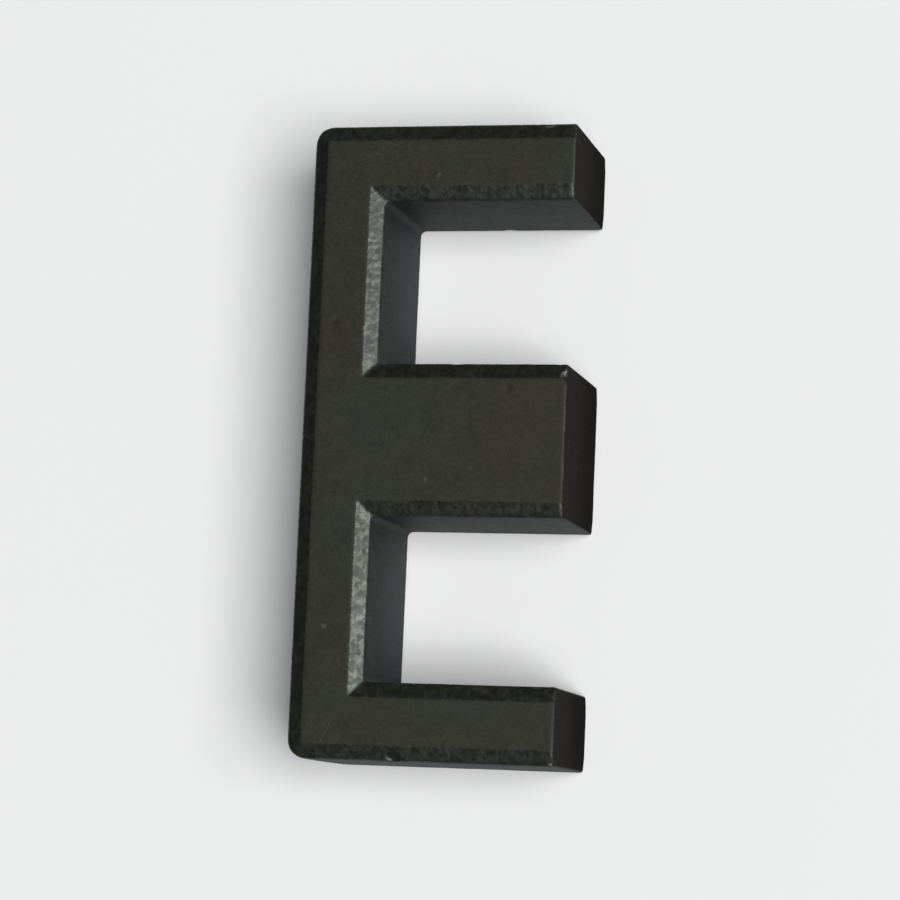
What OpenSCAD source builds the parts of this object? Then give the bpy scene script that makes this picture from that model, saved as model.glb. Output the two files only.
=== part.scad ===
// Ferrite E core: one half of a small transformer core, pressed and sintered as one piece.
// It lies on one of its two E-shaped faces. The legs point along +X, the core is longest
// along Y, and its thickness runs along +Z. The origin is the middle of its underside.

/* [Overall size] */
// Length across the three legs
core_length = 19.1; // [14:0.1:40]
// Height from the outside of the back to the leg ends
core_height = 8.1; // [5:0.1:30]
// Thickness from one E-shaped face to the other
core_thickness = 4.8; // [1.5:0.1:20]

/* [Legs and back] */
// Width of the centre leg, which carries the winding
centre_leg_width = 4.6; // [2:0.1:10]
// Width of each outer leg
outer_leg_width = 2.35; // [1.6:0.05:6]
// Thickness of the back that joins the three legs
back_thickness = 2.3; // [1.6:0.05:5]

/* [Pressed edges] */
// Width of the shallow chamfer round both E-shaped faces, which the ground leg ends lack
chamfer_width = 0.48; // [0.1:0.02:0.7]
// How far that chamfer drops down the side walls
chamfer_depth = 0.15; // [0.05:0.01:0.6]
// Radius of the two outer corners of the back
back_corner_radius = 0.6; // [0.1:0.05:1.5]
// Fillet in the inner corners of the two winding windows
window_fillet = 0.15; // [0.1:0.05:2]

/* [Hidden] */
$fn = 64;
ferrite_grey = [0.2, 0.2, 0.18];

back_x = -core_height / 2;
leg_end_x = core_height / 2;
// The legs are pressed too long by this much, and grinding takes it off with its chamfers
grinding_allowance = chamfer_width + 0.2;
pressed_end_x = leg_end_x + grinding_allowance;
window_x = back_x + back_thickness;
outer_y = core_length / 2;
outer_leg_y = outer_y - outer_leg_width;
centre_leg_y = centre_leg_width / 2;

// How far a cutter stands out past the surface that it cuts
past = 1;
// How far a fillet reaches into the walls that it joins
bite = min(outer_leg_width, back_thickness) / 4;

// Both E-shaped faces are chamfered, so every bar has this section from a to b
module chamfered_section(a, b) {
    top = core_thickness;
    polygon([
        [a, chamfer_depth],
        [a + chamfer_width, 0],
        [b - chamfer_width, 0],
        [b, chamfer_depth],
        [b, top - chamfer_depth],
        [b - chamfer_width, top],
        [a + chamfer_width, top],
        [a, top - chamfer_depth]
    ]);
}

// A straight bar whose chamfers run round all four sides and meet in mitres
module pressed_bar(x0, x1, y0, y1) {
    intersection() {
        translate([0, y1, 0])
            rotate([90, 0, 0])
                linear_extrude(y1 - y0)
                    chamfered_section(x0, x1);
        translate([x0, 0, 0])
            rotate([90, 0, 90])
                linear_extrude(x1 - x0)
                    chamfered_section(y0, y1);
    }
}

// The back and the three legs. Where two bars cross, the higher chamfer stands,
// which gives the mitre in each inner corner of the windows.
module pressed_blank() {
    pressed_bar(back_x, window_x, -outer_y, outer_y);
    pressed_bar(back_x, pressed_end_x, -centre_leg_y, centre_leg_y);
    pressed_bar(back_x, pressed_end_x, outer_leg_y, outer_y);
    pressed_bar(back_x, pressed_end_x, -outer_y, -outer_leg_y);
}

// What grinding takes off the leg ends. It leaves them flat, square and in one plane.
module grinding_cut() {
    translate([leg_end_x, -outer_y - past, -past])
        cube([grinding_allowance + past, core_length + 2 * past, core_thickness + 2 * past]);
}

// What rounding takes off an upright corner whose material lies towards +X and +Y
module corner_cut() {
    translate([0, 0, -past])
        linear_extrude(core_thickness + 2 * past)
            difference() {
                translate([-past, -past])
                    square(back_corner_radius + past);
                translate([back_corner_radius, back_corner_radius])
                    circle(back_corner_radius);
            }
}

// The two rounded outer corners of the back
module back_corner_cuts() {
    translate([back_x, -outer_y, 0])
        corner_cut();
    translate([back_x, outer_y, 0])
        mirror([0, 1, 0])
            corner_cut();
}

// Fillet in an inner corner whose open side lies towards +X and +Y
module corner_fillet() {
    translate([0, 0, chamfer_depth])
        linear_extrude(core_thickness - 2 * chamfer_depth)
            difference() {
                translate([-bite, -bite])
                    square(window_fillet + bite);
                translate([window_fillet, window_fillet])
                    circle(window_fillet);
            }
}

// The window between the centre leg and the outer leg on the +Y side
module window_fillets() {
    translate([window_x, centre_leg_y, 0])
        corner_fillet();
    translate([window_x, outer_leg_y, 0])
        mirror([0, 1, 0])
            corner_fillet();
}

module e_core() {
    color(ferrite_grey)
        union() {
            difference() {
                pressed_blank();
                back_corner_cuts();
                grinding_cut();
            }
            window_fillets();
            mirror([0, 1, 0])
                window_fillets();
        }
}

e_core();
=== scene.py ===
"""Looks of a small ferrite E core: a block of pressed and sintered ferrite that lies on one of its
two E-shaped faces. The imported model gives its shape. This script works that shape into the skin of a
real core: soft edges, chips, pits and grain as geometry, and one finish for each way it was made."""

import math

import bmesh
import bpy
from mathutils import Matrix, Vector


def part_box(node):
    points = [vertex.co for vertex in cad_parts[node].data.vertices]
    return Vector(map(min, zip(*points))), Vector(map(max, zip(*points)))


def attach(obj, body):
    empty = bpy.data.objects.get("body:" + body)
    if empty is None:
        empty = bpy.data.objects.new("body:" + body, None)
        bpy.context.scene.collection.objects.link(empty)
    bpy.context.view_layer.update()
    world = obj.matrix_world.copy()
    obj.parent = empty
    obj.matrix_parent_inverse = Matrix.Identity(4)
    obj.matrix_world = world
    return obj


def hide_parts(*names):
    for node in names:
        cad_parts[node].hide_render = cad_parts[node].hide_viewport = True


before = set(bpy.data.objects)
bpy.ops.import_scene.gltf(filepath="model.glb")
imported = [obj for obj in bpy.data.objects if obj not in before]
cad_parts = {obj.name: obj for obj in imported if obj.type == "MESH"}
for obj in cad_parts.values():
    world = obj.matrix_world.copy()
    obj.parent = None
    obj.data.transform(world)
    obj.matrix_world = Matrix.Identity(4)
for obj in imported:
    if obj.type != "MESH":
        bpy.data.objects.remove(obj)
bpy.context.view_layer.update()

# Metres in a millimetre
MM = 0.001

CORE_BODY = "root"
CORE_NODE = "e_core"
CORE_LOW, CORE_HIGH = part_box(CORE_NODE)
CORE_MIDDLE = (CORE_LOW + CORE_HIGH) / 2
CORE_LENGTH = CORE_HIGH.y - CORE_LOW.y
LEG_TIP = CORE_HIGH.x / MM
BACK = CORE_LOW.x / MM
FRONT = CORE_LOW.y / MM
TOP = CORE_HIGH.z / MM

# Viewing angle: how far the eye leans from straight above, towards +X and towards -Y, in degrees
LEAN_TO_LEGS = 13.8
LEAN_TO_FRONT = 7.7
CAMERA_ROLL = -0.6
CAMERA_DISTANCE = 0.095
FRAME_FILL = 0.70
SENSOR = 36.0

# One large soft lamp: where it is seen from the core, its distance and size in metres, and its watts
LAMP_DIRECTION = (0.44, -0.10, 0.89)
LAMP_DISTANCE = 1.20
LAMP_SIZE = 0.72
LAMP_POWER = 16.2

# The room lights the core weakly from all round, and looks pale itself
ROOM_LIGHT = (0.93, 0.97, 1.0, 1)
ROOM_STRENGTH = 0.09
BACKDROP = (0.93, 0.93, 0.93, 1)

# The table top: half its width in metres, and its grey for the light it throws and for the eye
TABLE_REACH = 0.6
TABLE_LIT = (0.78, 0.78, 0.78, 1)
TABLE_SEEN = (0.85, 0.85, 0.85, 1)

# The skin is worked in millimetres.
NET_SIZE = 0.052
NET_KEPT = 0.45
EDGE_ANGLE = math.radians(25)

# What tells the zones apart: how much of a face's normal points up or down (walls and level faces)
WALL_BELOW = 0.2
LEVEL_ABOVE = 0.99

# A ground end faces +X by at least this much, within this many millimetres of the leg ends
GROUND_ABOVE = 0.9
GROUND_REACH = 0.25

# Chips grow more frequent from the first to the second of these distances from the leg ends
CHIPS_FROM = 0.6
CHIPS_FULL = 0.3

# Knocks that this core has taken: where each one is, in millimetres, and its radius
KNOCKS = {
    "front_notch": ((BACK + 3.3, FRONT + 0.08, TOP + 0.02), 0.26),
    "back_chip": ((BACK - 0.06, FRONT + 3.0, TOP + 0.06), 0.30),
    "tip_chip": ((LEG_TIP + 0.08, 1.9, TOP + 0.06), 0.24),
    "corner_chip": ((LEG_TIP + 0.05, FRONT + 0.10, TOP + 0.02), 0.30),
}


# ---------------------------------------------------------------- small helpers for node trees

def add(tree, kind, inputs=None, **settings):
    """Adds a node. Inputs are named or numbered sockets, each given a value or linked to a socket."""
    made = tree.nodes.new(kind)
    for name, value in settings.items():
        setattr(made, name, value)
    for key, value in (inputs or {}).items():
        socket = made.inputs[key]
        if isinstance(value, bpy.types.NodeSocket):
            tree.links.new(value, socket)
        else:
            socket.default_value = value
    return made


def maths(tree, operation, *values, clamp=False):
    """A Math node's result."""
    node = add(tree, "ShaderNodeMath", dict(enumerate(values)), operation=operation, use_clamp=clamp)
    return node.outputs[0]


def vector_maths(tree, operation, *values):
    """A Vector Math node's vector result."""
    node = add(tree, "ShaderNodeVectorMath", dict(enumerate(values)), operation=operation)
    return node.outputs[0]


def scaled(tree, vector, factor):
    """A vector times one number."""
    node = add(tree, "ShaderNodeVectorMath", {0: vector, 3: factor}, operation="SCALE")
    return node.outputs[0]


def length_of(tree, vector):
    """A vector's length."""
    return add(tree, "ShaderNodeVectorMath", {0: vector}, operation="LENGTH").outputs[1]


def parts_of(tree, vector):
    """A vector's X, Y and Z."""
    return add(tree, "ShaderNodeSeparateXYZ", {0: vector}).outputs


def ramp_between(tree, value, low, high, out_low=0.0, out_high=1.0, smooth=True):
    """Maps value from low..high to out_low..out_high, held at both ends."""
    kind = "SMOOTHSTEP" if smooth else "LINEAR"
    inputs = {0: value, 1: low, 2: high, 3: out_low, 4: out_high}
    node = add(tree, "ShaderNodeMapRange", inputs, interpolation_type=kind)
    return node.outputs[0]


def noise(tree, place, scale, detail=2.0, roughness=0.5, seed=0.0, distortion=0.0):
    """A noise value from 0 to 1 at a place; seed picks another pattern."""
    inputs = {"Vector": place, "W": seed, "Scale": scale, "Detail": detail,
              "Roughness": roughness, "Distortion": distortion}
    return add(tree, "ShaderNodeTexNoise", inputs, noise_dimensions="4D").outputs[0]


def mix_colour(tree, share, first, second, blend="MIX"):
    """Mixes two colours."""
    inputs = {0: share, 6: first, 7: second}
    return add(tree, "ShaderNodeMix", inputs, data_type="RGBA", blend_type=blend).outputs[2]


def grey(tree, value):
    """One number as a grey colour."""
    return add(tree, "ShaderNodeCombineColor", {0: value, 1: value, 2: value}).outputs[0]


def scaled_colour(colour, factor):
    """A colour made lighter or darker by one factor."""
    return [factor * part for part in colour]


def new_group(name, kind, inputs, outputs):
    """A node group with named sockets. Returns the tree, its input sockets and its output node."""
    tree = bpy.data.node_groups.new(name, kind)
    for label, socket_type, value in inputs:
        socket = tree.interface.new_socket(name=label, in_out="INPUT", socket_type=socket_type)
        if value is not None:
            socket.default_value = value
    for label, socket_type in outputs:
        tree.interface.new_socket(name=label, in_out="OUTPUT", socket_type=socket_type)
    entry = tree.nodes.new("NodeGroupInput")
    result = tree.nodes.new("NodeGroupOutput")
    return tree, {s.name: s for s in entry.outputs if s.name}, result


FLOAT = "NodeSocketFloat"
COLOUR = "NodeSocketColor"
VECTOR = "NodeSocketVector"
GEOMETRY = "NodeSocketGeometry"
OBJECT = "NodeSocketObject"


def set_inputs(modifier, values):
    """Sets a Geometry Nodes modifier's inputs by their sockets' identifiers."""
    sockets = {s.name: s.identifier for s in modifier.node_group.interface.items_tree
               if s.item_type == "SOCKET" and s.in_out == "INPUT"}
    for label, value in values.items():
        modifier[sockets[label]] = value


# ---------------------------------------------------------------- camera, floor and light

def make_camera():
    """The eye is above the legs and a little to the front, so the window walls show."""
    towards_eye = Vector((math.tan(math.radians(LEAN_TO_LEGS)),
                          -math.tan(math.radians(LEAN_TO_FRONT)), 1)).normalized()
    right = Vector((1, 0, 0))
    right = (right - right.dot(towards_eye) * towards_eye).normalized()
    upward = towards_eye.cross(right)
    roll = math.radians(CAMERA_ROLL)
    right, upward = (math.cos(roll) * right - math.sin(roll) * upward,
                     math.sin(roll) * right + math.cos(roll) * upward)
    data = bpy.data.cameras.new("camera")
    data.sensor_width = SENSOR
    seen_length = CORE_LENGTH / FRAME_FILL
    data.lens = SENSOR * CAMERA_DISTANCE / seen_length
    data.clip_start = 0.001
    data.clip_end = 10
    camera = bpy.data.objects.new("camera", data)
    place = CORE_MIDDLE + towards_eye * CAMERA_DISTANCE
    turned = Matrix((right, upward, towards_eye)).transposed().to_4x4()
    camera.matrix_world = Matrix.Translation(place) @ turned
    bpy.context.scene.collection.objects.link(camera)
    bpy.context.scene.camera = camera


def area_lamp(name, direction, distance, size, power):
    """A square white lamp that faces the core from a direction."""
    data = bpy.data.lights.new(name, "AREA")
    data.size = size
    data.energy = power
    lamp = bpy.data.objects.new(name, data)
    towards = Vector(direction).normalized()
    lamp.location = CORE_MIDDLE + towards * distance
    lamp.rotation_euler = towards.to_track_quat("Z", "Y").to_euler()
    bpy.context.scene.collection.objects.link(lamp)


def make_lights():
    """A soft window on the leg side and even, weaker light from all round."""
    area_lamp("window_lamp", LAMP_DIRECTION, LAMP_DISTANCE, LAMP_SIZE, LAMP_POWER)
    world = bpy.data.worlds.new("studio")
    bpy.context.scene.world = world
    world.use_nodes = True
    tree = world.node_tree
    tree.nodes.clear()
    room = add(tree, "ShaderNodeBackground", {"Color": ROOM_LIGHT, "Strength": ROOM_STRENGTH})
    backdrop = add(tree, "ShaderNodeBackground", {"Color": BACKDROP, "Strength": 1.0})
    rays = add(tree, "ShaderNodeLightPath").outputs
    seen = maths(tree, "MAXIMUM", rays["Is Camera Ray"], rays["Is Transmission Ray"])
    mixed = add(tree, "ShaderNodeMixShader", {0: seen, 1: room.outputs[0], 2: backdrop.outputs[0]})
    add(tree, "ShaderNodeOutputWorld", {"Surface": mixed.outputs[0]})


def make_floor():
    """A plain pale table top."""
    data = bpy.data.meshes.new("table_top")
    reach = TABLE_REACH
    corners = [(-reach, -reach, 0), (reach, -reach, 0), (reach, reach, 0), (-reach, reach, 0)]
    data.from_pydata(corners, [], [(0, 1, 2, 3)])
    floor = bpy.data.objects.new("table_top", data)
    bpy.context.scene.collection.objects.link(floor)
    material = bpy.data.materials.new("pale_table")
    material.use_nodes = True
    tree = material.node_tree
    tree.nodes.clear()
    rays = add(tree, "ShaderNodeLightPath").outputs
    seen = maths(tree, "MAXIMUM", rays["Is Camera Ray"], rays["Is Glossy Ray"])
    seen = maths(tree, "MAXIMUM", seen, rays["Is Transmission Ray"])
    colour = mix_colour(tree, seen, TABLE_LIT, TABLE_SEEN)
    paper = add(tree, "ShaderNodeBsdfDiffuse", {"Color": colour})
    add(tree, "ShaderNodeOutputMaterial", {"Surface": paper.outputs[0]})
    data.materials.append(material)


# ---------------------------------------------------------------- the core's shape

def pressed_block():
    """The core as it leaves the die, in millimetres, with the seams of its mesh joined."""
    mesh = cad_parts[CORE_NODE].data.copy()
    work = bmesh.new()
    work.from_mesh(mesh)
    bmesh.ops.remove_doubles(work, verts=work.verts, dist=0.001 * MM)
    bmesh.ops.scale(work, vec=Vector((1, 1, 1)) / MM, verts=work.verts)
    work.to_mesh(mesh)
    work.free()
    mesh.materials.clear()
    block = bpy.data.objects.new("pressed_block", mesh)
    bpy.context.scene.collection.objects.link(block)
    return block


def sharp_edges(tree, block):
    """The block's sharp edges alone, without its faces."""
    angle = add(tree, "GeometryNodeInputMeshEdgeAngle").outputs["Unsigned Angle"]
    blunt = add(tree, "FunctionNodeCompare", {0: angle, 1: EDGE_ANGLE},
                data_type="FLOAT", operation="LESS_THAN").outputs[0]
    left = add(tree, "GeometryNodeDeleteGeometry", {"Geometry": block, "Selection": blunt},
               domain="EDGE", mode="EDGE_FACE").outputs[0]
    return add(tree, "GeometryNodeDeleteGeometry", {"Geometry": left},
               domain="FACE", mode="ONLY_FACE").outputs[0]


def block_facing(tree, block):
    """Which way the block's own face looks, at the point of the block nearest to the skin."""
    normal = add(tree, "GeometryNodeInputNormal").outputs[0]
    by_face = add(tree, "GeometryNodeFieldOnDomain", {0: normal},
                  data_type="FLOAT_VECTOR", domain="FACE").outputs[0]
    nearest = add(tree, "GeometryNodeSampleNearestSurface", {"Mesh": block, "Value": by_face},
                  data_type="FLOAT_VECTOR")
    return nearest.outputs["Value"]


def one_in_cell(tree, place, scale, share, seed):
    """Ragged spots strewn about, one in some cells: 1 at a spot's middle, falling to 0 at its rim."""
    wander = add(tree, "ShaderNodeTexNoise", {"Vector": place, "Scale": 6.5, "Detail": 2.0}).outputs["Color"]
    ragged = vector_maths(tree, "MULTIPLY_ADD", wander, (0.22, 0.22, 0.22), place)
    cells = add(tree, "ShaderNodeTexVoronoi", {"Vector": ragged, "W": seed, "Scale": scale},
                voronoi_dimensions="4D")
    draw = parts_of(tree, cells.outputs["Color"])
    chosen = maths(tree, "LESS_THAN", draw[0], share)
    radius = maths(tree, "MULTIPLY_ADD", draw[1], 0.24, 0.06)
    spot = maths(tree, "SUBTRACT", 1.0, maths(tree, "DIVIDE", cells.outputs["Distance"], radius), clamp=True)
    return maths(tree, "MULTIPLY", spot, chosen)


def skin_depth(tree, place, chamfer, wall, given):
    """How far below the die's surface the sintered skin lies: waves, grain, pits and drag lines."""
    waves = noise(tree, place, 0.45, detail=1.0, seed=2.0)
    grain_scale = maths(tree, "DIVIDE", 1.0, given["Grain size"])
    cells = add(tree, "ShaderNodeTexVoronoi", {"Vector": place, "Scale": grain_scale})
    grain = maths(tree, "MULTIPLY", cells.outputs["Distance"],
                  noise(tree, place, 2.2, detail=2.0, seed=5.0))
    grain_share = maths(tree, "MULTIPLY_ADD", chamfer, 0.85, 0.15)
    pits = one_in_cell(tree, place, 1.3, given["Pit share"], 11.0)
    small_pits = one_in_cell(tree, place, 3.4, given["Pit share"], 17.0)
    stretched = vector_maths(tree, "MULTIPLY", place, (3.2, 3.2, 0.25))
    drag = maths(tree, "MULTIPLY", noise(tree, stretched, 1.0, detail=2.0, seed=8.0), wall)
    depth = maths(tree, "MULTIPLY_ADD", waves, given["Wave height"], 0.004)
    grain = maths(tree, "MULTIPLY", grain, grain_share)
    depth = maths(tree, "MULTIPLY_ADD", grain, given["Grain height"], depth)
    depth = maths(tree, "MULTIPLY_ADD", maths(tree, "POWER", pits, 0.6), given["Pit depth"], depth)
    depth = maths(tree, "MULTIPLY_ADD", maths(tree, "POWER", small_pits, 0.6),
                  maths(tree, "MULTIPLY", given["Pit depth"], 0.5), depth)
    return maths(tree, "MULTIPLY_ADD", drag, given["Drag height"], depth)


def white_noise(tree, place, seed):
    """A node whose Value and Color are random for each place, and the same on each run."""
    return add(tree, "ShaderNodeTexWhiteNoise", {"Vector": place, "W": seed}, noise_dimensions="4D")


def chip_points(tree, skin, edge_distance, given):
    """One point for each chip: a few along every sharp edge, more at the ground leg ends."""
    place = add(tree, "GeometryNodeInputPosition").outputs[0]
    outward = add(tree, "GeometryNodeInputNormal").outputs[0]
    on_edge = maths(tree, "LESS_THAN", edge_distance, NET_SIZE)
    at_tip = ramp_between(tree, parts_of(tree, place)[0], LEG_TIP - CHIPS_FROM, LEG_TIP - CHIPS_FULL)
    chance = maths(tree, "MULTIPLY", given["Chip share"], maths(tree, "MULTIPLY_ADD", at_tip, 3.0, 1.0))
    drawn = maths(tree, "LESS_THAN", white_noise(tree, place, 1.0).outputs["Value"], chance)
    chosen = maths(tree, "MULTIPLY", on_edge, drawn)
    size = maths(tree, "POWER", white_noise(tree, place, 2.0).outputs["Value"], 2.5)
    radius = maths(tree, "MULTIPLY", given["Chip radius"], maths(tree, "MULTIPLY_ADD", size, 0.8, 0.2))
    middle = vector_maths(tree, "ADD", place, scaled(tree, outward, maths(tree, "MULTIPLY", radius, 0.62)))
    strewn = add(tree, "GeometryNodeMeshToPoints",
                 {"Mesh": skin, "Selection": chosen, "Position": middle, "Radius": radius}, mode="VERTICES")
    everything = tree.nodes.new("GeometryNodeJoinGeometry")
    tree.links.new(strewn.outputs[0], everything.inputs[0])
    for knock_place, knock_radius in KNOCKS.values():
        point = add(tree, "GeometryNodePoints", {"Position": knock_place, "Radius": knock_radius})
        tree.links.new(point.outputs[0], everything.inputs[0])
    return everything.outputs[0]


def carve_chips(tree, skin, chips):
    """Breaks a shell-shaped flake out of the skin round each chip point, and marks the fresh break."""
    place = add(tree, "GeometryNodeInputPosition").outputs[0]
    own_radius = add(tree, "GeometryNodeInputRadius").outputs[0]
    nearest = add(tree, "GeometryNodeSampleNearest", {"Geometry": chips}, domain="POINT").outputs[0]
    middle = add(tree, "GeometryNodeSampleIndex", {"Geometry": chips, "Value": place, "Index": nearest},
                 data_type="FLOAT_VECTOR").outputs[0]
    radius = add(tree, "GeometryNodeSampleIndex", {"Geometry": chips, "Value": own_radius, "Index": nearest},
                 data_type="FLOAT").outputs[0]
    draw = white_noise(tree, middle, 3.0).outputs["Color"]
    squash = vector_maths(tree, "MULTIPLY_ADD", draw, (0.7, 0.7, 0.7), (0.65, 0.65, 0.65))
    reach = vector_maths(tree, "MULTIPLY", vector_maths(tree, "SUBTRACT", place, middle), squash)
    distance = length_of(tree, reach)
    rough = maths(tree, "MULTIPLY_ADD", noise(tree, place, 7.0, detail=2.0, seed=4.0), 0.5, 0.75)
    broken_radius = maths(tree, "MULTIPLY", radius, rough)
    stretch = maths(tree, "DIVIDE", broken_radius, maths(tree, "MAXIMUM", distance, 0.001))
    pushed = vector_maths(tree, "DIVIDE", scaled(tree, reach, stretch), squash)
    inside = maths(tree, "LESS_THAN", distance, broken_radius)
    skin = keep(tree, skin, "broken", inside)
    return add(tree, "GeometryNodeSetPosition",
               {"Geometry": skin, "Selection": inside,
                "Position": vector_maths(tree, "ADD", middle, pushed)}).outputs[0]


def keep(tree, geometry, name, value):
    """Keeps a value at each point of the skin, for the finishes to read."""
    return add(tree, "GeometryNodeStoreNamedAttribute",
               {"Geometry": geometry, "Name": name, "Value": value},
               data_type="FLOAT", domain="POINT").outputs[0]


def softened(tree, value, times):
    """A value blurred over its neighbours."""
    return add(tree, "GeometryNodeBlurAttribute", {"Value": value, "Iterations": times},
               data_type="FLOAT").outputs[0]


def sintered_skin():
    """The tree that turns the block's net into the skin of a sintered core."""
    tree, given, result = new_group("sintered_skin", "GeometryNodeTree", [
        ("Geometry", GEOMETRY, None), ("Block", OBJECT, None),
        ("Grain size", FLOAT, 0.18), ("Grain height", FLOAT, 0.016), ("Wave height", FLOAT, 0.015),
        ("Pit depth", FLOAT, 0.030), ("Pit share", FLOAT, 0.12), ("Drag height", FLOAT, 0.010),
        ("Chip share", FLOAT, 0.006), ("Chip radius", FLOAT, 0.24)], [("Geometry", GEOMETRY)])
    block = add(tree, "GeometryNodeObjectInfo", {"Object": given["Block"]}).outputs["Geometry"]
    place = add(tree, "GeometryNodeInputPosition").outputs[0]
    outward = add(tree, "GeometryNodeInputNormal").outputs[0]
    edge_distance = add(tree, "GeometryNodeProximity", {"Geometry": sharp_edges(tree, block)},
                        target_element="EDGES").outputs["Distance"]

    facing = parts_of(tree, block_facing(tree, block))
    upright = maths(tree, "ABSOLUTE", facing[2])
    wall = maths(tree, "LESS_THAN", upright, WALL_BELOW)
    level = maths(tree, "GREATER_THAN", upright, LEVEL_ABOVE)
    chamfer = maths(tree, "SUBTRACT", 1.0, maths(tree, "ADD", wall, level), clamp=True)
    at_tip = maths(tree, "GREATER_THAN", parts_of(tree, place)[0], LEG_TIP - GROUND_REACH)
    ground = maths(tree, "MULTIPLY", maths(tree, "GREATER_THAN", facing[0], GROUND_ABOVE), at_tip)

    skin = keep(tree, given["Geometry"], "edge_distance", edge_distance)
    for name, zone in (("wall", wall), ("chamfer", chamfer), ("ground", ground)):
        skin = keep(tree, skin, name, zone)
    depth = skin_depth(tree, place, softened(tree, chamfer, 1), softened(tree, wall, 1), given)
    skin = keep(tree, skin, "depth", depth)
    worn = add(tree, "GeometryNodeBlurAttribute", {"Value": place, "Iterations": 2},
               data_type="FLOAT_VECTOR").outputs[0]
    worn_share = ramp_between(tree, edge_distance, 0.05, 0.16, 1.0, 0.0)
    worn_place = add(tree, "ShaderNodeMix", {0: worn_share, 4: place, 5: worn}, data_type="VECTOR").outputs[1]
    skin = add(tree, "GeometryNodeSetPosition", {"Geometry": skin, "Position": worn_place}).outputs[0]
    sunk = scaled(tree, outward, maths(tree, "MULTIPLY", depth, -1.0))
    skin = add(tree, "GeometryNodeSetPosition", {"Geometry": skin, "Offset": sunk}).outputs[0]
    chips = chip_points(tree, skin, edge_distance, given)
    tree.links.new(carve_chips(tree, skin, chips), result.inputs[0])
    return tree


def make_core(finishes):
    """The finished core: block, fine net, worked skin, then one plain mesh in metres."""
    block = pressed_block()
    block.hide_render = True
    core = bpy.data.objects.new("core_skin", block.data.copy())
    bpy.context.scene.collection.objects.link(core)
    net = core.modifiers.new("net", "REMESH")
    net.mode = "VOXEL"
    net.voxel_size = NET_SIZE
    skin = core.modifiers.new("skin", "NODES")
    skin.node_group = sintered_skin()
    set_inputs(skin, {"Block": block})
    if NET_KEPT < 1:
        thin = core.modifiers.new("thin", "DECIMATE")
        thin.ratio = NET_KEPT
    dress = core.modifiers.new("finishes", "NODES")
    dress.node_group = zone_finishes(finishes)
    depsgraph = bpy.context.evaluated_depsgraph_get()
    mesh = bpy.data.meshes.new_from_object(core.evaluated_get(depsgraph), depsgraph=depsgraph)
    mesh.transform(Matrix.Scale(MM, 4))
    mesh.name = "ferrite_core"
    bpy.data.objects.remove(core)
    bpy.data.objects.remove(block)
    piece = bpy.data.objects.new("ferrite_core", mesh)
    bpy.context.scene.collection.objects.link(piece)
    return piece


def zone_finishes(finishes):
    """The tree that gives each zone of the skin its finish."""
    tree, given, result = new_group("zone_finishes", "GeometryNodeTree",
                                    [("Geometry", GEOMETRY, None)], [("Geometry", GEOMETRY)])
    skin = add(tree, "GeometryNodeSetShadeSmooth", {"Geometry": given["Geometry"]}).outputs[0]
    skin = add(tree, "GeometryNodeRealizeInstances", {"Geometry": skin}).outputs[0]
    skin = add(tree, "GeometryNodeSetMaterial", {"Geometry": skin, "Material": finishes["face"]}).outputs[0]
    for zone in ("chamfer", "wall", "ground"):
        value = add(tree, "GeometryNodeInputNamedAttribute", {"Name": zone}, data_type="FLOAT").outputs[0]
        chosen = maths(tree, "GREATER_THAN", value, 0.5)
        skin = add(tree, "GeometryNodeSetMaterial",
                   {"Geometry": skin, "Selection": chosen, "Material": finishes[zone]}).outputs[0]
    tree.links.new(skin, result.inputs[0])
    return tree


# ---------------------------------------------------------------- effects that the finishes share

def group_node(tree, group, inputs):
    """Places a shared effect in a material."""
    return add(tree, "ShaderNodeGroup", inputs, node_tree=group).outputs


def kept(tree, name):
    """A value that the skin keeps at each point."""
    return add(tree, "ShaderNodeAttribute", attribute_name=name).outputs["Fac"]


def ferrite_grain():
    """Fine crystals of the sintered body: how light each one is, and how far it stands out."""
    tree, given, result = new_group("ferrite_grain", "ShaderNodeTree", [
        ("Place", VECTOR, None), ("Grain size", FLOAT, 0.07), ("Seed", FLOAT, 0.0)],
        [("Tone", FLOAT), ("Height", FLOAT)])
    scale = maths(tree, "DIVIDE", 1.0, given["Grain size"])
    cells = add(tree, "ShaderNodeTexVoronoi",
                {"Vector": given["Place"], "W": given["Seed"], "Scale": scale}, voronoi_dimensions="4D")
    own_tone = parts_of(tree, cells.outputs["Color"])[0]
    fine = noise(tree, given["Place"], maths(tree, "MULTIPLY", scale, 1.6), 3.0, 0.65, given["Seed"])
    tone = maths(tree, "MULTIPLY_ADD", own_tone, 0.45, maths(tree, "MULTIPLY", fine, 0.55))
    dome = maths(tree, "SUBTRACT", 1.0, cells.outputs["Distance"])
    height = maths(tree, "MULTIPLY_ADD", dome, 0.5, maths(tree, "MULTIPLY", fine, 0.5))
    tree.links.new(tone, result.inputs["Tone"])
    tree.links.new(height, result.inputs["Height"])
    return tree


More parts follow.
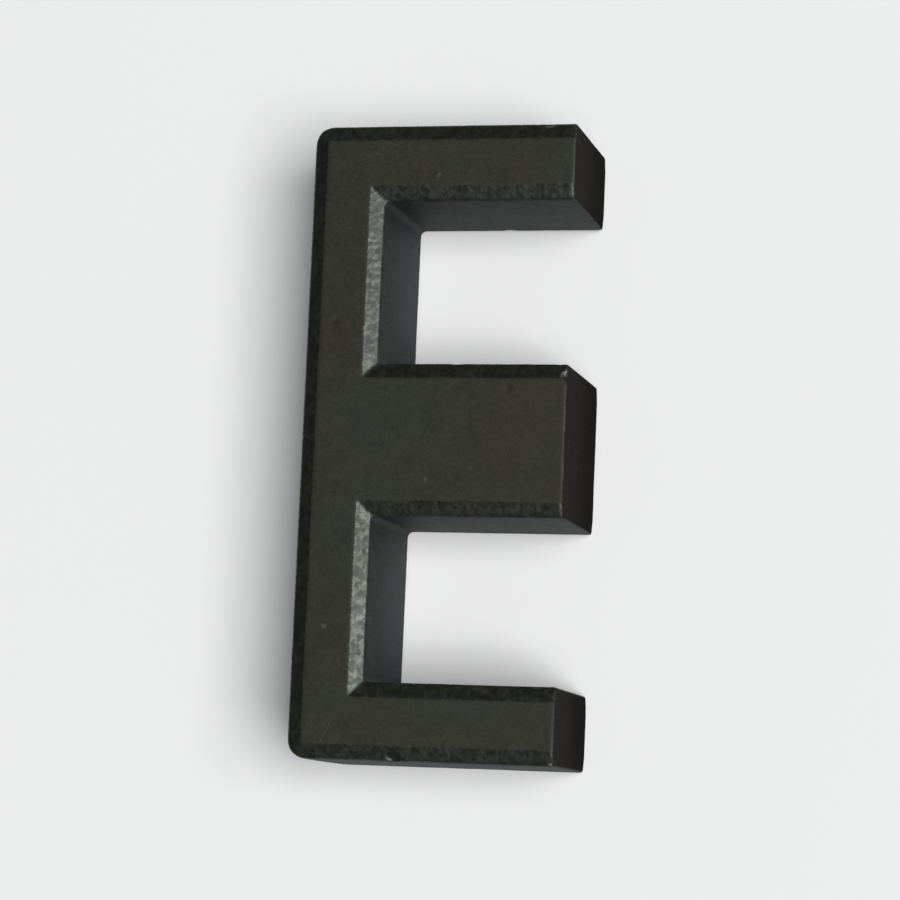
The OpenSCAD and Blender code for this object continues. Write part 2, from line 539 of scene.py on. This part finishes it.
def kiln_mottling():
    """Soft patches of another shade, as the kiln leaves them, over finer clouds."""
    tree, given, result = new_group("kiln_mottling", "ShaderNodeTree", [
        ("Place", VECTOR, None), ("Body", COLOUR, None), ("Warm", COLOUR, None), ("Cool", COLOUR, None),
        ("Patch size", FLOAT, 2.5), ("Amount", FLOAT, 0.6)], [("Colour", COLOUR)])
    scale = maths(tree, "DIVIDE", 1.0, given["Patch size"])
    warm = noise(tree, given["Place"], scale, 3.0, 0.6, 21.0, 0.6)
    cool = noise(tree, given["Place"], maths(tree, "MULTIPLY", scale, 0.7), 3.0, 0.6, 33.0, 0.4)
    cloud = noise(tree, given["Place"], maths(tree, "MULTIPLY", scale, 5.0), 3.0, 0.6, 40.0)
    warm_share = maths(tree, "MULTIPLY", ramp_between(tree, warm, 0.46, 0.66), given["Amount"])
    cool_share = maths(tree, "MULTIPLY", ramp_between(tree, cool, 0.46, 0.66), given["Amount"])
    colour = mix_colour(tree, warm_share, given["Body"], given["Warm"])
    colour = mix_colour(tree, cool_share, colour, given["Cool"])
    shade = ramp_between(tree, cloud, 0.3, 0.7, 0.84, 1.16, smooth=False)
    colour = mix_colour(tree, 1.0, colour, grey(tree, shade), "MULTIPLY")
    tree.links.new(colour, result.inputs["Colour"])
    return tree


def edge_rub():
    """Where handling has rubbed the edges: strongest on them, broken up, gone a little way in."""
    tree, given, result = new_group("edge_rub", "ShaderNodeTree", [
        ("Place", VECTOR, None), ("Width", FLOAT, 0.12), ("Amount", FLOAT, 0.6)], [("Mask", FLOAT)])
    nearness = ramp_between(tree, kept(tree, "edge_distance"), 0.0, given["Width"], 1.0, 0.0)
    patches = noise(tree, given["Place"], 1.1, 3.0, 0.7, 51.0)
    broken_up = ramp_between(tree, patches, 0.35, 0.68)
    mask = maths(tree, "MULTIPLY", maths(tree, "MULTIPLY", nearness, broken_up), given["Amount"])
    tree.links.new(mask, result.inputs["Mask"])
    return tree


def drawn_lines():
    """Fine parallel lines. Stretch is how many lines lie in a millimetre along each axis."""
    tree, given, result = new_group("drawn_lines", "ShaderNodeTree", [
        ("Place", VECTOR, None), ("Stretch", VECTOR, None), ("Seed", FLOAT, 0.0)],
        [("Mask", FLOAT), ("Height", FLOAT)])
    place = vector_maths(tree, "MULTIPLY", given["Place"], given["Stretch"])
    lines = noise(tree, place, 1.0, 3.0, 0.7, given["Seed"])
    coarse = noise(tree, scaled(tree, place, 0.35), 1.0, 2.0, 0.6, maths(tree, "ADD", given["Seed"], 3.0))
    height = maths(tree, "MULTIPLY_ADD", lines, 0.6, maths(tree, "MULTIPLY", coarse, 0.4))
    tree.links.new(ramp_between(tree, height, 0.35, 0.68), result.inputs["Mask"])
    tree.links.new(height, result.inputs["Height"])
    return tree


def scuffs():
    """A few hair-thin scratches in two directions, each a few millimetres long at most."""
    tree, given, result = new_group("scuffs", "ShaderNodeTree", [
        ("Place", VECTOR, None), ("Share", FLOAT, 0.5)], [("Mask", FLOAT)])
    total = 0.0
    for turn, seed in ((0.35, 61.0), (-1.1, 67.0)):
        turned = add(tree, "ShaderNodeVectorRotate", {"Vector": given["Place"], "Angle": turn},
                     rotation_type="Z_AXIS").outputs[0]
        long = vector_maths(tree, "MULTIPLY", turned, (0.22, 7.0, 0.22))
        thread = noise(tree, long, 1.0, 1.0, 0.5, seed)
        hair = maths(tree, "SUBTRACT", 1.0, ramp_between(
            tree, maths(tree, "ABSOLUTE", maths(tree, "SUBTRACT", thread, 0.5)), 0.0, 0.010))
        where = ramp_between(tree, noise(tree, given["Place"], 0.55, 2.0, 0.5, seed + 2.0), 0.60, 0.72)
        total = maths(tree, "MAXIMUM", maths(tree, "MULTIPLY", hair, where), total)
    tree.links.new(maths(tree, "MULTIPLY", total, given["Share"]), result.inputs["Mask"])
    return tree


def specks():
    """Ragged specks of dust strewn about, one in some cells."""
    tree, given, result = new_group("specks", "ShaderNodeTree", [
        ("Place", VECTOR, None), ("Cell", FLOAT, 0.5), ("Share", FLOAT, 0.2), ("Seed", FLOAT, 0.0)],
        [("Mask", FLOAT)])
    spot = one_in_cell(tree, given["Place"], maths(tree, "DIVIDE", 1.0, given["Cell"]),
                       given["Share"], given["Seed"])
    tree.links.new(ramp_between(tree, spot, 0.0, 0.5), result.inputs["Mask"])
    return tree


def dull_crystals():
    """Grains of the chamfers that stay dull among the ones that shine."""
    tree, given, result = new_group("dull_crystals", "ShaderNodeTree", [
        ("Place", VECTOR, None), ("Crystal size", FLOAT, 0.16)], [("Mask", FLOAT)])
    scale = maths(tree, "DIVIDE", 1.0, given["Crystal size"])
    cells = add(tree, "ShaderNodeTexVoronoi", {"Vector": given["Place"], "W": 3.0, "Scale": scale},
                voronoi_dimensions="4D")
    clouds = noise(tree, given["Place"], 2.4, 3.0, 0.6, 77.0)
    draw = maths(tree, "MULTIPLY_ADD", clouds, 0.9, parts_of(tree, cells.outputs["Color"])[0])
    tree.links.new(ramp_between(tree, draw, 0.75, 1.25), result.inputs["Mask"])
    return tree


def painted_edge_shade():
    """A dark line painted along the edges of the die walls: painted shade of the narrow step that punch and
    die leave there.
    """
    tree, given, result = new_group("painted_edge_shade", "ShaderNodeTree", [
        ("Place", VECTOR, None), ("Width", FLOAT, 0.16), ("Amount", FLOAT, 0.75)], [("Mask", FLOAT)])
    wander = noise(tree, given["Place"], 1.8, 2.0, 0.6, 81.0)
    reach = maths(tree, "MULTIPLY", given["Width"], maths(tree, "MULTIPLY_ADD", wander, 0.8, 0.6))
    share = maths(tree, "DIVIDE", kept(tree, "edge_distance"), reach)
    line = ramp_between(tree, share, 0.3, 1.0, 1.0, 0.0)
    tree.links.new(maths(tree, "MULTIPLY", line, given["Amount"]), result.inputs["Mask"])
    return tree


def towards_underside():
    """How near the underside a point of an upright surface lies, with an uneven border: it places the painted
    light and shade at the foot of upright surfaces.
    """
    tree, given, result = new_group("towards_underside", "ShaderNodeTree", [
        ("Place", VECTOR, None), ("Reach", FLOAT, 4.4), ("Unevenness", FLOAT, 1.6)], [("Mask", FLOAT)])
    clouds = maths(tree, "SUBTRACT", noise(tree, given["Place"], 0.9, 3.0, 0.6, 91.0), 0.5)
    height = maths(tree, "MULTIPLY_ADD", clouds, given["Unevenness"], parts_of(tree, given["Place"])[2])
    share = maths(tree, "DIVIDE", height, given["Reach"])
    tree.links.new(ramp_between(tree, share, 0.1, 1.0, 1.0, 0.0), result.inputs["Mask"])
    return tree


# ---------------------------------------------------------------- the finishes

def ferrite_finish(name, effects, body, warm, cool, rub, roughness, gloss, grain_size, grain_contrast,
                   grain_lift, patch_size=2.5, tint=(1, 1, 1), lines=None, line_lift=0.0, dust=0.05,
                   crystals=0.0, edge_shade_colour=None, painted_underside_light_and_shade=None):
    """A finish of the core. Roughness is a pair: worn smooth, and as it left the kiln.
    Crystals is how far single grains differ in gloss. The colour for the edges of the die walls is painted
    shade, a dark line along them. The colour towards the underside of upright surfaces is painted light on
    the die walls and painted shade on the ground ends."""
    material = bpy.data.materials.new(name)
    material.use_nodes = True
    tree = material.node_tree
    tree.nodes.clear()
    own_place = add(tree, "ShaderNodeTexCoord").outputs["Object"]
    place = scaled(tree, own_place, 1 / MM)

    grain = group_node(tree, effects["grain"], {"Place": place, "Grain size": grain_size, "Seed": 1.0})
    colour = group_node(tree, effects["mottling"],
                        {"Place": place, "Body": (*body, 1), "Warm": (*warm, 1), "Cool": (*cool, 1),
                         "Patch size": patch_size})["Colour"]
    # Painted light and shade towards the underside of upright surfaces. The die walls get a paler colour,
    # painted light as if thrown up from the table. The ground ends get a darker colour, painted shade as if
    # from a second core set close against the leg ends.
    if painted_underside_light_and_shade:
        underside_paint_share = group_node(tree, effects["painted_underside_light_and_shade"], {"Place": place})["Mask"]
        colour = mix_colour(tree, underside_paint_share, colour, (*painted_underside_light_and_shade, 1))
    tone = ramp_between(tree, grain["Tone"], 0.25, 0.75, 1 - grain_contrast, 1 + grain_contrast, smooth=False)
    colour = mix_colour(tree, 1.0, colour, grey(tree, tone), "MULTIPLY")
    # Painted shade: the deeper points of the skin, in its pits and between its grains, are darkened.
    pit_shade = ramp_between(tree, kept(tree, "depth"), 0.020, 0.040)
    colour = mix_colour(tree, maths(tree, "MULTIPLY", pit_shade, 0.6), colour, (*scaled_colour(body, 0.4), 1))
    height = maths(tree, "MULTIPLY", grain["Height"], grain_lift)
    if lines:
        drawn = group_node(tree, effects["lines"], {"Place": place, "Stretch": lines, "Seed": 14.0})
        height = maths(tree, "MULTIPLY_ADD", drawn["Height"], line_lift, height)
        darker = maths(tree, "MULTIPLY", maths(tree, "SUBTRACT", 1.0, drawn["Mask"]), 0.25)
        colour = mix_colour(tree, darker, colour, (*scaled_colour(body, 0.5), 1))
    # Painted shade: a dark line along the edges of the die walls.
    if edge_shade_colour:
        edge_shade = group_node(tree, effects["edge_shade"], {"Place": place})["Mask"]
        colour = mix_colour(tree, edge_shade, colour, (*edge_shade_colour, 1))

    rubbed = group_node(tree, effects["rub"], {"Place": place})["Mask"]
    colour = mix_colour(tree, rubbed, colour, (*rub, 1))
    scratched = group_node(tree, effects["scuffs"], {"Place": place})["Mask"]
    colour = mix_colour(tree, scratched, colour, (*rub, 1))
    fresh = kept(tree, "broken")
    colour = mix_colour(tree, maths(tree, "MULTIPLY", fresh, 0.8), colour, (*scaled_colour(body, 1.5), 1))
    dusty = group_node(tree, effects["specks"],
                       {"Place": place, "Cell": 0.42, "Share": dust, "Seed": 9.0})["Mask"]
    colour = mix_colour(tree, maths(tree, "MULTIPLY", dusty, 0.25), colour, (0.16, 0.16, 0.14, 1))

    smooth, raw = roughness
    rough = ramp_between(tree, grain["Tone"], 0.2, 0.8, raw - 0.07, raw + 0.07, smooth=False)
    if crystals:
        dull = group_node(tree, effects["crystals"], {"Place": place})["Mask"]
        rough = maths(tree, "MULTIPLY_ADD", dull, crystals, rough)
    worn = maths(tree, "MAXIMUM", rubbed, maths(tree, "MULTIPLY", fresh, 0.6))
    rough = ramp_between(tree, worn, 0.0, 1.0, rough, smooth)

    height = maths(tree, "MULTIPLY_ADD", scratched, -0.002, height)
    bump = add(tree, "ShaderNodeBump", {"Strength": 1.0, "Distance": MM, "Height": height}).outputs[0]
    shader = add(tree, "ShaderNodeBsdfPrincipled",
                 {"Base Color": colour, "Roughness": rough, "Normal": bump, "Specular IOR Level": gloss,
                  "Specular Tint": (*tint, 1)})
    add(tree, "ShaderNodeOutputMaterial", {"Surface": shader.outputs[0]})
    return material


def core_finishes():
    """One finish for each way a surface was made: pressed, chamfered, pushed out of the die, ground."""
    effects = {"grain": ferrite_grain(), "mottling": kiln_mottling(), "rub": edge_rub(),
               "lines": drawn_lines(), "scuffs": scuffs(), "specks": specks(),
               "crystals": dull_crystals(), "edge_shade": painted_edge_shade(), "painted_underside_light_and_shade": towards_underside()}
    return {
        "face": ferrite_finish(
            "pressed_face", effects, body=(0.0200, 0.0210, 0.0130), warm=(0.0225, 0.0203, 0.0115),
            cool=(0.0180, 0.0222, 0.0160), rub=(0.062, 0.063, 0.052), roughness=(0.42, 0.62), gloss=0.30,
            grain_size=0.06, grain_contrast=0.22, grain_lift=0.005),
        "chamfer": ferrite_finish(
            "pressed_chamfer", effects, body=(0.0062, 0.0064, 0.0042), warm=(0.0080, 0.0066, 0.0038),
            cool=(0.0058, 0.0074, 0.0060), rub=(0.040, 0.043, 0.036), roughness=(0.33, 0.36), gloss=0.60,
            grain_size=0.17, grain_contrast=0.10, grain_lift=0.011, patch_size=0.8,
            tint=(0.92, 1.0, 0.90), crystals=0.12),
        "wall": ferrite_finish(
            "die_wall", effects, body=(0.0122, 0.0168, 0.0136), warm=(0.0138, 0.0158, 0.0124),
            cool=(0.0265, 0.0350, 0.0345), rub=(0.058, 0.066, 0.062), roughness=(0.52, 0.66), gloss=0.17,
            grain_size=0.09, grain_contrast=0.22, grain_lift=0.006, patch_size=1.0,
            # Painted shade along the edges of the die walls.
            lines=(7.0, 7.0, 0.35), line_lift=0.008, edge_shade_colour=(0.006, 0.010, 0.0065),
            # Painted light: the die walls grow paler towards the underside.
            painted_underside_light_and_shade=(0.0280, 0.0355, 0.0358)),
        "ground": ferrite_finish(
            "ground_end", effects, body=(0.0165, 0.0152, 0.0130), warm=(0.019, 0.0155, 0.012),
            cool=(0.015, 0.015, 0.0135), rub=(0.050, 0.048, 0.042), roughness=(0.50, 0.75), gloss=0.015,
            grain_size=0.05, grain_contrast=0.15, grain_lift=0.003,
            # Painted shade: the ground ends grow darker towards the underside.
            lines=(9.0, 0.30, 9.0), line_lift=0.006, painted_underside_light_and_shade=(0.0030, 0.0025, 0.0022)),
    }


# ---------------------------------------------------------------- main

make_camera()
make_lights()
make_floor()
bpy.context.scene.view_settings.view_transform = "Standard"

core = make_core(core_finishes())
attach(core, CORE_BODY)
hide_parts(CORE_NODE)
